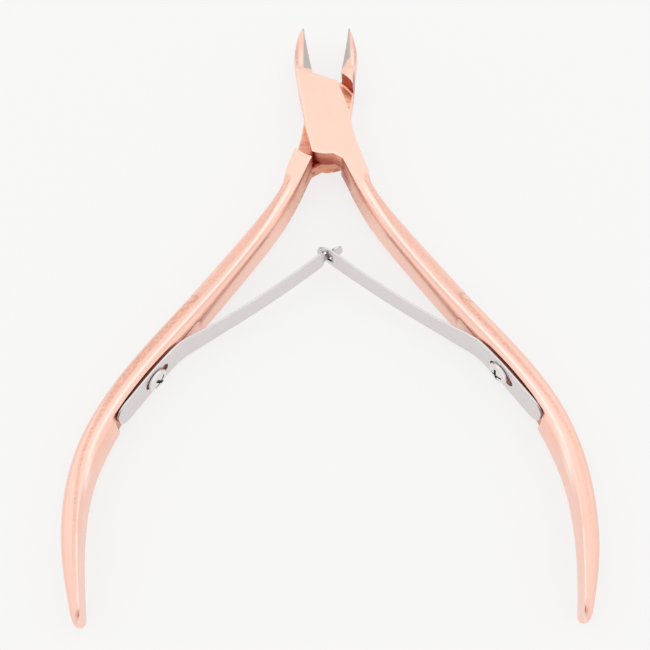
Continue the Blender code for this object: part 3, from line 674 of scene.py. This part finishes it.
rivet = {"radius": 2.0, "head": 2.8, "headDepth": 0.9, "high": 5.2, "dome": 0.06, "segments": 96}


def buildRivet():
    head, shank, rise = rivet["head"], rivet["radius"], rivet["headDepth"]
    profile = [(head * 0.5, -rivet["dome"] * 0.4), (head * 0.9, 0.0), (head, 0.12), (head, rise - 0.05),
               (head - 0.05, rise), (shank, rise + 0.02), (shank, rivet["high"] - 0.1),
               (shank - 0.1, rivet["high"])]
    mesh = turnedMesh("pivotRivet", [(r * mm, h * mm) for r, h in profile], rivet["segments"])
    shadeSmooth(mesh)
    mesh.set_sharp_from_angle(angle=math.radians(35))
    mesh.materials.append(roseGold)
    piece = newPiece("pivotRivet", mesh)
    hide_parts("pivot_rivet")
    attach(piece, "front")


buildRivet()

spring = {"thickness": 0.32, "edgeRound": 0.07, "middle": 3.3, "footHeight": 5.6, "leafHeight": 4.5,
          "endHeight": 4.8, "taper": 9.0, "crossing": -25.2, "sag": 0.6, "droop": 12, "footEnd": 15.9,
          "footCorner": 2.3, "holeAt": 6.3, "holeLength": 5.4, "holeHeight": 2.5, "footSteps": 32,
          "leafSteps": 60, "slotLength": 1.7, "slotHeight": 2.1, "slotLand": 1.05, "slotCorner": 1.9,
          "neckHeight": 1.4, "neckLength": 1.8, "headHeight": 2.6, "headLength": 1.7,
          "tail": 4, "bendSteps": 160, "bendReach": 0.8, "slotShade": (1.25, 1.0), "neckShade": (0.9, 0.55)}


def springLine(side):
    # the bend and the way its foot runs down the handle, as if on the right
    name = ("right" if side > 0 else "left") + "_leaf_flex"
    joint = next(j for j in frame["joints"] if j["name"] == name)
    bend = Vector((abs(joint["pos_m"][0]), joint["pos_m"][1], 0)) / mm
    foot = pointsOf(frame["nodes"]["right_spring_foot"].data)[:, :2]
    spread = np.cov((foot - foot.mean(axis=0)).T)
    along = Vector(tuple(np.linalg.eigh(spread)[1][:, 1]) + (0,)).normalized()
    if along.y > 0:
        along = -along
    return bend, along


def springPath(side):
    # plan points from the foot's end round the bend to the leaf's end, in mm
    bend, along = springLine(side)
    cross = Vector((0, spring["crossing"], 0))
    chord = cross - bend
    length = chord.length
    direction = chord.normalized()
    sagSide = Vector((-direction.y, direction.x, 0))
    footSteps, leafSteps = spring["footSteps"], spring["leafSteps"]
    points = [bend + along * t for t in np.linspace(spring["footEnd"], 0, footSteps + 1)[:-1]]
    for t in np.linspace(0, 1, leafSteps + 1):
        points.append(bend + direction * length * t + sagSide * 4 * spring["sag"] * t * (1 - t))
    droop = Matrix.Rotation(math.radians(spring["droop"]), 3, "Z")
    tail = droop @ direction
    points += [cross + tail * t for t in np.linspace(0, spring["tail"], 9)[1:]]
    path = np.array([p[:2] for p in points])
    outward = np.array((-along.y, along.x))
    share = np.linspace(1, 0, footSteps + 1)
    path[:footSteps + 1] += outward * np.interp(share, pocket["bowAt"], pocket["bow"])[:, None]
    steps = np.concatenate([[0], np.cumsum(np.linalg.norm(np.diff(path, axis=0), axis=1))])
    fine = np.arange(0, steps[-1], 0.1)
    path = np.stack([np.interp(fine, steps, path[:, i]) for i in range(2)], axis=1)
    crossAt = spring["footEnd"] + steps[footSteps + leafSteps] - steps[footSteps]
    # round the bend by averaging along the strip, less near the ends
    for _ in range(spring["bendSteps"]):
        path[1:-1] = path[1:-1] * 0.5 + (path[:-2] + path[2:]) * 0.25
    return fine, path, crossAt


def arcPoints(centre, radius, start, stop, count=8):
    return [(centre[0] + radius * math.cos(math.radians(a)), centre[1] + radius * math.sin(math.radians(a)))
            for a in np.linspace(start, stop, count)]


def slottedEnd(crossAt, low, end):
    tip = crossAt + spring["slotLength"] / 2 + spring["slotLand"]
    corner = spring["slotCorner"]
    edge = [(crossAt - 8, low), (crossAt - 2, end), (crossAt - 0.9, end)]
    return edge + arcPoints((tip - corner, end - 0.3 - corner), corner, 80, 0)


def neckedEnd(crossAt, low, end):
    start, stop = crossAt - spring["neckLength"] / 2, crossAt + spring["neckLength"] / 2
    neck, head = spring["neckHeight"] / 2, spring["headHeight"] / 2
    tip, corner, small = stop + spring["headLength"], 0.9, 0.45
    edge = [(crossAt - 8, low), (start - 0.7, end - 0.1), (start - 0.25, end - 0.35), (start, neck + 0.5),
            (start + 0.1, neck), (stop - 0.1, neck), (stop, neck + 0.3)]
    edge += arcPoints((stop + small, head - small), small, 180, 90, 4)
    return edge + arcPoints((tip - corner, head - corner), corner, 90, 0)


def springOutline(crossAt, slotted):
    # the strip laid flat: its outline from the foot's end, and the rings of its holes
    bendAt, taper, corner = spring["footEnd"], spring["taper"], spring["footCorner"]
    tall, low, end = spring["footHeight"] / 2, spring["leafHeight"] / 2, spring["endHeight"] / 2
    upper = [(0, 0)] + arcPoints((corner, tall - corner), corner, 180, 90)
    for t in np.linspace(0, taper, 9):
        upper.append((bendAt + t, tall + (low - tall) * (t / taper) ** 2 * (3 - 2 * t / taper)))
    upper += slottedEnd(crossAt, low, end) if slotted else neckedEnd(crossAt, low, end)
    lower = [(s, -h) for s, h in reversed(upper[1:])]
    radius = spring["holeHeight"] / 2
    reach = spring["holeLength"] / 2 - radius
    middle = bendAt - spring["holeAt"]
    holes = [arcPoints((middle + reach, 0), radius, -90, 90, 12)
             + arcPoints((middle - reach, 0), radius, 90, 270, 12)]
    if slotted:
        halfSlot, high, corner = spring["slotLength"] / 2, spring["slotHeight"] / 2, 0.4
        ring = []
        for across, above, start in ((1, 1, 0), (-1, 1, 90), (-1, -1, 180), (1, -1, 270)):
            centre = (crossAt + across * (halfSlot - corner), above * (high - corner))
            ring += arcPoints(centre, corner, start, start + 90, 5)
        holes.append(ring)
    return upper + lower, holes


def flatPlate(name, outline, holes, thickness, rounding):
    # outline and holes in the XY plane, in mm, made into a plate with rounded edges
    data = bpy.data.curves.new(name, "CURVE")
    data.dimensions = "2D"
    data.fill_mode = "BOTH"
    data.extrude = thickness / 2 - rounding
    data.bevel_depth = rounding
    data.bevel_resolution = 2
    data.offset = -rounding
    for ring in [outline] + holes:
        spline = data.splines.new("POLY")
        spline.points.add(len(ring) - 1)
        for point, (a, b) in zip(spline.points, ring):
            point.co = (a, b, 0, 1)
        spline.use_cyclic_u = True
    shape = bpy.data.objects.new(name, data)
    bpy.context.scene.collection.objects.link(shape)
    bpy.context.view_layer.update()
    mesh = bpy.data.meshes.new_from_object(shape.evaluated_get(bpy.context.evaluated_depsgraph_get()))
    bpy.data.objects.remove(shape)
    work = bmesh.new()
    work.from_mesh(mesh)
    bmesh.ops.remove_doubles(work, verts=work.verts, dist=0.0005)
    work.to_mesh(mesh)
    work.free()
    return mesh


def buildSpring(name, side, slotted, nodes):
    fine, path, crossAt = springPath(side)
    outline, holes = springOutline(crossAt, slotted)
    mesh = flatPlate(name, outline, holes, spring["thickness"], spring["edgeRound"])
    work = bmesh.new()
    work.from_mesh(mesh)
    for station in np.arange(0.5, crossAt + 3, 0.5):
        geometry = work.verts[:] + work.edges[:] + work.faces[:]
        bmesh.ops.bisect_plane(work, geom=geometry, dist=0.0001, plane_co=(station, 0, 0), plane_no=(1, 0, 0))
    work.to_mesh(mesh)
    work.free()
    tangent = np.gradient(path, fine, axis=0)
    tangent /= np.linalg.norm(tangent, axis=1)[:, None]
    flat = pointsOf(mesh)
    s = flat[:, 0]
    at = np.stack([np.interp(s, fine, path[:, i]) for i in range(2)], axis=1)
    way = np.stack([np.interp(s, fine, tangent[:, i]) for i in range(2)], axis=1)
    over = s - fine[-1]
    at += way * np.clip(over, 0, None)[:, None]
    square = np.stack([-way[:, 1], way[:, 0]], axis=1)
    plan = at + square * flat[:, 2:3]
    bent = np.column_stack([plan[:, 0] * side, plan[:, 1], spring["middle"] + flat[:, 1]]) * mm
    # painted shade in the slot and round the neck
    inSlot = 1 - ramp(np.abs(s - crossAt), spring["slotLength"] / 2 + 0.02, spring["slotLength"] / 2 + 0.25)
    high, strength = spring["slotShade"] if slotted else spring["neckShade"]
    paintedShade = inSlot * (1 - ramp(np.abs(flat[:, 1]), high - 0.1, high + 0.1))
    setMask(mesh, "paintedShade", paintedShade * strength)
    setPoints(mesh, bent)
    piece = newPiece(name, mesh)
    work = bmesh.new()
    work.from_mesh(mesh)
    bmesh.ops.recalc_face_normals(work, faces=work.faces)
    work.to_mesh(mesh)
    work.free()
    shadeSmooth(mesh)
    mesh.set_sharp_from_angle(angle=math.radians(32))
    mesh.materials.append(springSteel)
    bend, along = springLine(side)
    leafWay = (Vector((0, spring["crossing"], 0)) - bend).normalized()
    reach = (leafWay - along).normalized() * spring["bendReach"]
    bend, reach = (Vector((v.x * side, v.y, 0)) * mm for v in (bend, reach))
    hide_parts(*nodes)
    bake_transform(piece)
    print(name, len(mesh.vertices), "points")


buildSpring("rightSpring", 1, True, ("right_spring_foot", "right_spring_leaf"))
buildSpring("leftSpring", -1, False, ("left_spring_foot", "left_spring_leaf"))

screw = {"head": 2.0, "rise": 1.05, "shank": 0.95, "shankLength": 1.6, "recess": 2.6, "recessWidth": 0.55,
         "recessDepth": 0.7, "offset": 0.35, "rim": 0.3, "voxel": 0.065, "seat": 0.4, "paintedShade": 0.8, "grow": 10,
         "turn": {1: 20, -1: 62}}


def buildScrew(name, side, body, node):
    # made larger than life for the cut and the remesh, then brought to size
    grow, head, rise, rim = screw["grow"], screw["head"], screw["rise"], screw["rim"]
    profile = [(screw["shank"], -screw["shankLength"]), (screw["shank"], 0.02), (head - 0.12, 0.0),
               (head, 0.12), (head, screw["rim"])]
    for a in np.linspace(12, 84, 9):
        a = math.radians(a)
        profile.append((head * (0.12 + 0.88 * math.cos(a)), rim + (rise - rim) * math.sin(a)))
    mesh = turnedMesh(name, [(r * mm * grow, h * mm * grow) for r, h in profile], 72)
    piece = newPiece(name, mesh)
    for quarter in (0, 90):
        arm = meshFrom("arm", [(x, y, z) for z in (-0.5, 0.5) for y in (-0.5, 0.5) for x in (-0.5, 0.5)],
                       [(0, 2, 3, 1), (4, 5, 7, 6), (0, 1, 5, 4), (2, 6, 7, 3), (0, 4, 6, 2), (1, 3, 7, 5)])
        cutter = newPiece("arm", arm)
        size = Vector((screw["recess"], screw["recessWidth"], 2 * screw["recessDepth"])) * mm * grow
        cutter.matrix_world = (Matrix.Translation((0, 0, rise * mm * grow)) @
                               Matrix.Rotation(math.radians(quarter), 4, "Z") @ Matrix.Diagonal((*size, 1)))
        cut = piece.modifiers.new("recess", "BOOLEAN")
        cut.operation = "DIFFERENCE"
        cut.solver = "EXACT"
        cut.object = cutter
        settle(piece)
        bpy.data.objects.remove(cutter)
    remesh(piece, screw["voxel"] * mm * grow, 2)
    points = pointsOf(piece.data) / (mm * grow)
    radius = np.hypot(points[:, 0], points[:, 1])
    dome = rim + (rise - rim) * np.sqrt(np.clip(1 - (radius / head) ** 2, 0, 1))
    recessed = ramp(dome - points[:, 2], 0.1, 0.35) * (points[:, 2] > 0.1) * (radius < 0.75 * head)
    # painted shade in the cross recess
    setMask(piece.data, "paintedShade", screw["paintedShade"] * recessed)
    bend, along = springLine(side)
    inward = Vector((along.y, -along.x, 0))
    if inward.x > 0:
        inward = -inward
    spot = bend + along * (spring["holeAt"] - screw["offset"] * side)
    spot += inward * (spring["thickness"] / 2 - screw["seat"])
    spot.z = spring["middle"]
    turn = Matrix.Rotation(math.radians(screw["turn"][side]), 4, "Z")
    stand = inward.to_track_quat("Z", "Y").to_matrix().to_4x4()
    place = Matrix.Translation(spot * mm) @ stand @ turn @ Matrix.Scale(1 / grow, 4)
    piece.data.transform(Matrix.Diagonal((side, 1, 1, 1)) @ place)
    if side < 0:
        piece.data.flip_normals()
    shadeSmooth(piece.data)
    piece.data.materials.clear()
    piece.data.materials.append(screwSteel)
    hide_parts(node)
    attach(piece, body)
    print(name, len(piece.data.vertices), "points")


buildScrew("rightScrew", 1, "front", "right_spring_screw")
buildScrew("leftScrew", -1, "rear", "left_spring_screw")

# the studio is in metres and watts
studio = {"world": 1.0, "floor": (0.17, 0.17, 0.17, 1), "floorHalf": 2, "floorDrop": 0.05 * mm, "glow": 0.76,
          "glowColor": (1, 0.995, 0.99, 1), "top": 0.09, "topAt": (0.0, 0.17, 0.42), "topAim": (0, -0.03, 0),
          "topSize": (0.5, 0.3), "side": 0.045, "sideAt": (0.5, 0.2, 0.27), "sideAim": (0, -0.04, 0),
          "sideSize": (0.4, 0.12)}


def addFloor():
    half, low = studio["floorHalf"], -studio["floorDrop"]
    corners = [(x, y, low) for x, y in ((-half, -half), (half, -half), (half, half), (-half, half))]
    floor = newPiece("floor", meshFrom("floor", corners, [(0, 1, 2, 3)]))
    made, tree, shader = newMaterial("paleFloor", Roughness=0.9, Specular_IOR_Level=0.1)
    paper = addNode(tree, "ShaderNodeTexNoise", (-600, 0), Scale=30.0, Detail=3.0)
    darker = tuple(0.99 * c for c in studio["floor"][:3]) + (1,)
    tint = mixColor(tree, paper.outputs["Fac"], studio["floor"], darker, (-300, 0))
    link(tree, tint, shader.inputs["Base Color"])
    shader.inputs["Emission Color"].default_value = studio["glowColor"]
    shader.inputs["Emission Strength"].default_value = studio["glow"]
    floor.data.materials.append(made)


def addPanel(name, place, aim, size, power):
    data = bpy.data.lights.new(name, "AREA")
    data.shape = "RECTANGLE"
    data.size, data.size_y = size
    data.energy = power
    lamp = bpy.data.objects.new(name, data)
    bpy.context.scene.collection.objects.link(lamp)
    place, aim = Vector(place), Vector(aim)
    facing = (aim - place).to_track_quat("-Z", "Y").to_matrix().to_4x4()
    lamp.matrix_world = Matrix.Translation(place) @ facing


def addWorld():
    world = bpy.data.worlds.new("studioWorld")
    bpy.context.scene.world = world
    world.use_nodes = True
    background = world.node_tree.nodes["Background"]
    background.inputs["Color"].default_value = (1, 1, 1, 1)
    background.inputs["Strength"].default_value = studio["world"]
    bpy.context.scene.view_settings.view_transform = "Standard"


addFloor()
addWorld()
# the panel that the flat faces mirror, beyond the jaws and high up
addPanel("overheadPanel", studio["topAt"], studio["topAim"], studio["topSize"], studio["top"])
out, along, high = studio["sideAt"]
for side, name in ((-1, "leftPanel"), (1, "rightPanel")):
    addPanel(name, (out * side, along, high), studio["sideAim"], studio["sideSize"], studio["side"])
print("studio made")
